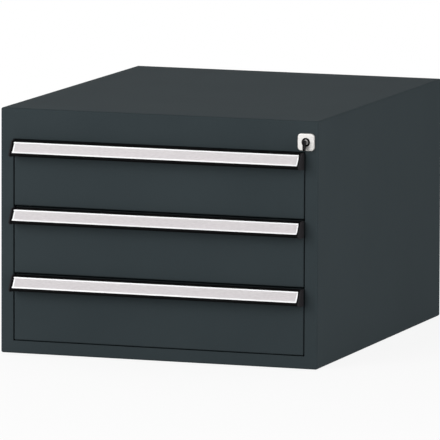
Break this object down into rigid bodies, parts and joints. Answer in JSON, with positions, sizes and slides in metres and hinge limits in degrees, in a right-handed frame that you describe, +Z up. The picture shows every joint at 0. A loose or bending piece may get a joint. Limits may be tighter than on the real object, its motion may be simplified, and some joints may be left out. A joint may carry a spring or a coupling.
{
  "type": "multi-drawer cabinet",
  "caption": "Low sheet-steel drawer cabinet with full-width grip rails and label strips, ball runners and a central lock whose bar holds the drawers shut.",
  "frame": {"origin": "middle of the flat base, on the surface it stands on", "axes": "+Z up, drawers open towards -Y, +X to the right seen from the front"},
  "size_m": [0.5, 0.6253, 0.37],
  "materials": {
    "body_paint": "anthracite powder coat, fine orange peel, satin",
    "tray_paint": "anthracite powder coat, satin",
    "upright_zinc": "galvanised sheet, spangled",
    "runner_zinc": "bright zinc plate, drawn along the length",
    "ball_steel": "polished bearing steel",
    "screw_zinc": "zinc plated",
    "grip_black": "black, fine moulded texture",
    "cap_charcoal": "charcoal, fine moulded texture",
    "holder_aluminium": "anodised, drawn along the length",
    "label_white": "matte off-white insert",
    "lock_nickel": "satin nickel",
    "lock_black": "black die-cast",
    "key_black": "black coated steel"
  },
  "bodies": {
    "carcass": {"left_side_panel": "body_paint", "right_side_panel": "body_paint", "top_panel": "body_paint", "base_panel": "body_paint", "back_panel": "body_paint", "runner_uprights": "upright_zinc", "runner_screws": "screw_zinc", "runner_outer_left_1": "runner_zinc", "runner_outer_right_1": "runner_zinc", "runner_outer_left_2": "runner_zinc", "runner_outer_right_2": "runner_zinc", "runner_outer_left_3": "runner_zinc", "runner_outer_right_3": "runner_zinc", "lock_rosette": "lock_nickel", "lock_housing": "lock_black", "lock_nut": "screw_zinc", "lock_bar_guides": "grip_black"},
    "drawer_1": {"drawer_front_1": "body_paint", "drawer_tray_1": "tray_paint", "drawer_screws_1": "screw_zinc", "lock_catch_1": "upright_zinc", "grip_rail_1": "grip_black", "label_holder_1": "holder_aluminium", "label_strip_1": "label_white", "grip_end_caps_1": "cap_charcoal", "runner_inner_left_1": "runner_zinc", "runner_inner_right_1": "runner_zinc"},
    "runner_slide_1": {"runner_middle_left_1": "runner_zinc", "runner_middle_right_1": "runner_zinc", "runner_ball_rows_1": "ball_steel"},
    "drawer_2": {"drawer_front_2": "body_paint", "drawer_tray_2": "tray_paint", "drawer_screws_2": "screw_zinc", "lock_catch_2": "upright_zinc", "grip_rail_2": "grip_black", "label_holder_2": "holder_aluminium", "label_strip_2": "label_white", "grip_end_caps_2": "cap_charcoal", "runner_inner_left_2": "runner_zinc", "runner_inner_right_2": "runner_zinc"},
    "runner_slide_2": {"runner_middle_left_2": "runner_zinc", "runner_middle_right_2": "runner_zinc", "runner_ball_rows_2": "ball_steel"},
    "drawer_3": {"drawer_front_3": "body_paint", "drawer_tray_3": "tray_paint", "drawer_screws_3": "screw_zinc", "lock_catch_3": "upright_zinc", "grip_rail_3": "grip_black", "label_holder_3": "holder_aluminium", "label_strip_3": "label_white", "grip_end_caps_3": "cap_charcoal", "runner_inner_left_3": "runner_zinc", "runner_inner_right_3": "runner_zinc"},
    "runner_slide_3": {"runner_middle_left_3": "runner_zinc", "runner_middle_right_3": "runner_zinc", "runner_ball_rows_3": "ball_steel"},
    "lock_cylinder": {"lock_plug": "lock_nickel", "lock_cam": "upright_zinc", "key": "key_black"},
    "locking_bar": {"lock_bar": "upright_zinc"}
  },
  "joints": [
    {"name": "drawer_1_slide", "type": "slide", "parent": "carcass", "child": "drawer_1", "axis": [0, -1, 0], "range_m": [0, 0.5]},
    {"name": "drawer_2_slide", "type": "slide", "parent": "carcass", "child": "drawer_2", "axis": [0, -1, 0], "range_m": [0, 0.5]},
    {"name": "drawer_3_slide", "type": "slide", "parent": "carcass", "child": "drawer_3", "axis": [0, -1, 0], "range_m": [0, 0.5]},
    {"name": "runner_1_slide", "type": "slide", "parent": "carcass", "child": "runner_slide_1", "axis": [0, -1, 0], "range_m": [0, 0.25]},
    {"name": "runner_2_slide", "type": "slide", "parent": "carcass", "child": "runner_slide_2", "axis": [0, -1, 0], "range_m": [0, 0.25]},
    {"name": "runner_3_slide", "type": "slide", "parent": "carcass", "child": "runner_slide_3", "axis": [0, -1, 0], "range_m": [0, 0.25]},
    {"name": "lock_bar_drop", "type": "slide", "parent": "carcass", "child": "locking_bar", "axis": [0, 0, -1], "range_m": [0, 0.01]},
    {"name": "lock_turn", "type": "hinge", "parent": "carcass", "child": "lock_cylinder", "pos_m": [0.232, -0.29, 0.3388], "axis": [0, 1, 0], "range_deg": [0, 90]}
  ],
  "couplings": [
    {"joint": "runner_1_slide", "follows": "drawer_1_slide", "ratio": 0.5},
    {"joint": "runner_2_slide", "follows": "drawer_2_slide", "ratio": 0.5},
    {"joint": "runner_3_slide", "follows": "drawer_3_slide", "ratio": 0.5},
    {"joint": "lock_turn", "follows": "lock_bar_drop", "rad_per_m": 156.5}
  ]
}
